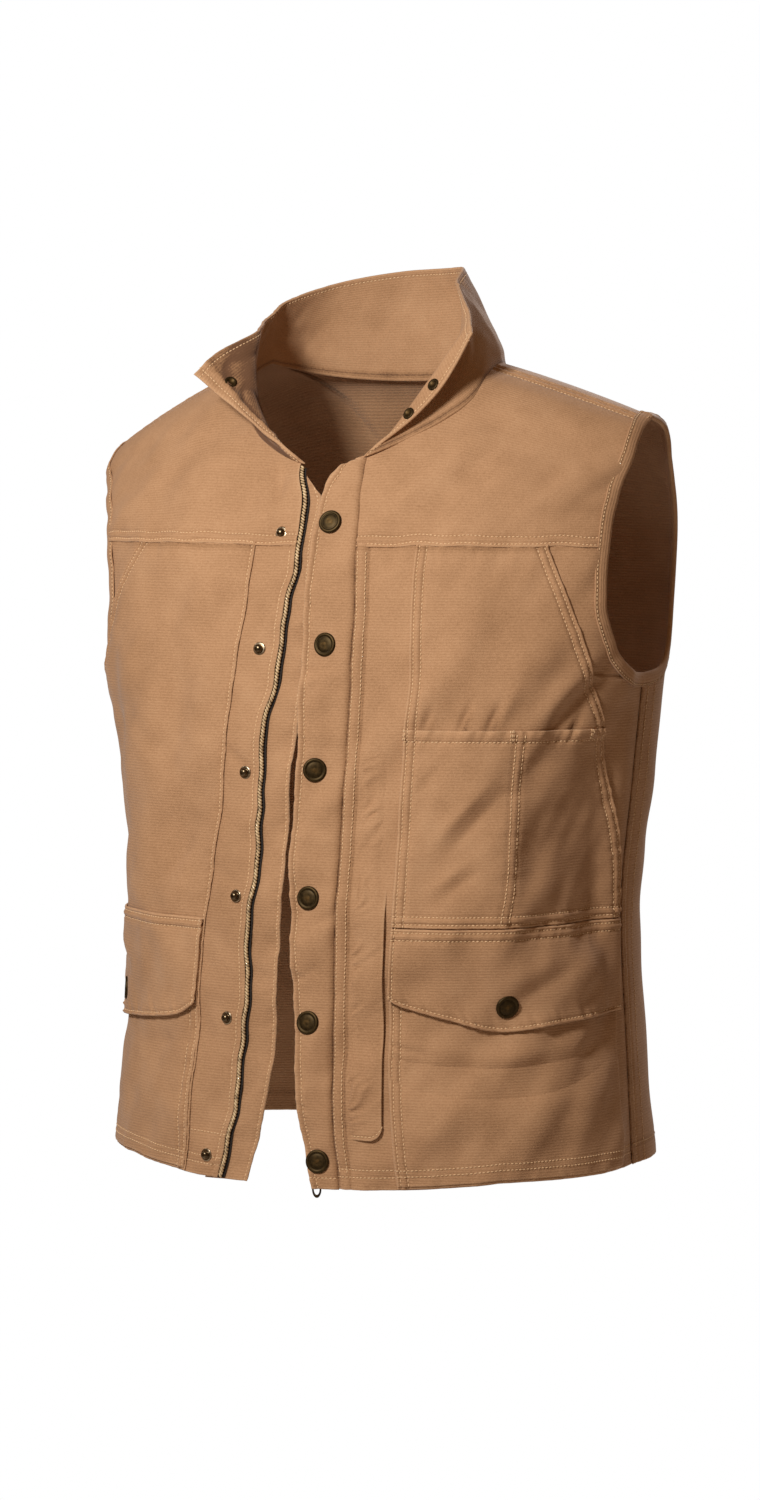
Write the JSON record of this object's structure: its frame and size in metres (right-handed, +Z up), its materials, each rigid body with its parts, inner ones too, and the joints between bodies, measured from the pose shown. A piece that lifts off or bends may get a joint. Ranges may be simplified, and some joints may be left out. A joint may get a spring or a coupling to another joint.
{
  "type": "hunting vest",
  "caption": "Cotton duck hunting vest in its worn form, open at the neck, with a stand collar, zip under a snapped storm flap, chest pocket and flapped lower pockets",
  "frame": {"origin": "the middle of the neck, level with the points where the shoulders meet the collar, where the vest sits on its wearer", "axes": "+Z is up, -Y is the front of the vest and +X is the wearer's left"},
  "size_m": [0.4854, 0.3318, 0.7398],
  "materials": {
    "duck": "matte",
    "zip_tape": "matte",
    "zip_teeth": "satin",
    "antique_brass": "aged",
    "pale_metal": "polished"
  },
  "bodies": {
    "root": {"back": "duck", "front_left": "duck", "front_right": "duck", "yoke_left": "duck", "yoke_right": "duck", "armhole_band_left": "duck", "armhole_band_right": "duck", "collar": "duck", "placket_left": "duck", "zip_guard_right": "duck", "zip_tape_left": "zip_tape", "zip_tape_right": "zip_tape", "zip_teeth_left": "zip_teeth", "zip_teeth_right": "zip_teeth", "zip_slider": "antique_brass", "zip_pull": "antique_brass", "panel_left": "duck", "panel_right": "duck", "chest_pocket_left": "duck", "lower_pocket_left": "duck", "lower_pocket_right": "duck", "flap_left": "duck", "flap_right": "duck", "welt_left": "duck", "snap_cap_1": "antique_brass", "snap_cap_2": "antique_brass", "snap_cap_3": "antique_brass", "snap_cap_4": "antique_brass", "snap_cap_5": "antique_brass", "snap_cap_6": "antique_brass", "flap_snap_left": "antique_brass", "flap_snap_right": "antique_brass", "snap_stud_1": "pale_metal", "snap_stud_2": "pale_metal", "snap_stud_3": "pale_metal", "snap_stud_4": "pale_metal", "snap_stud_5": "pale_metal", "snap_stud_6": "pale_metal", "collar_socket_1": "antique_brass", "collar_socket_2": "antique_brass", "collar_stud": "antique_brass"}
  },
  "joints": []
}
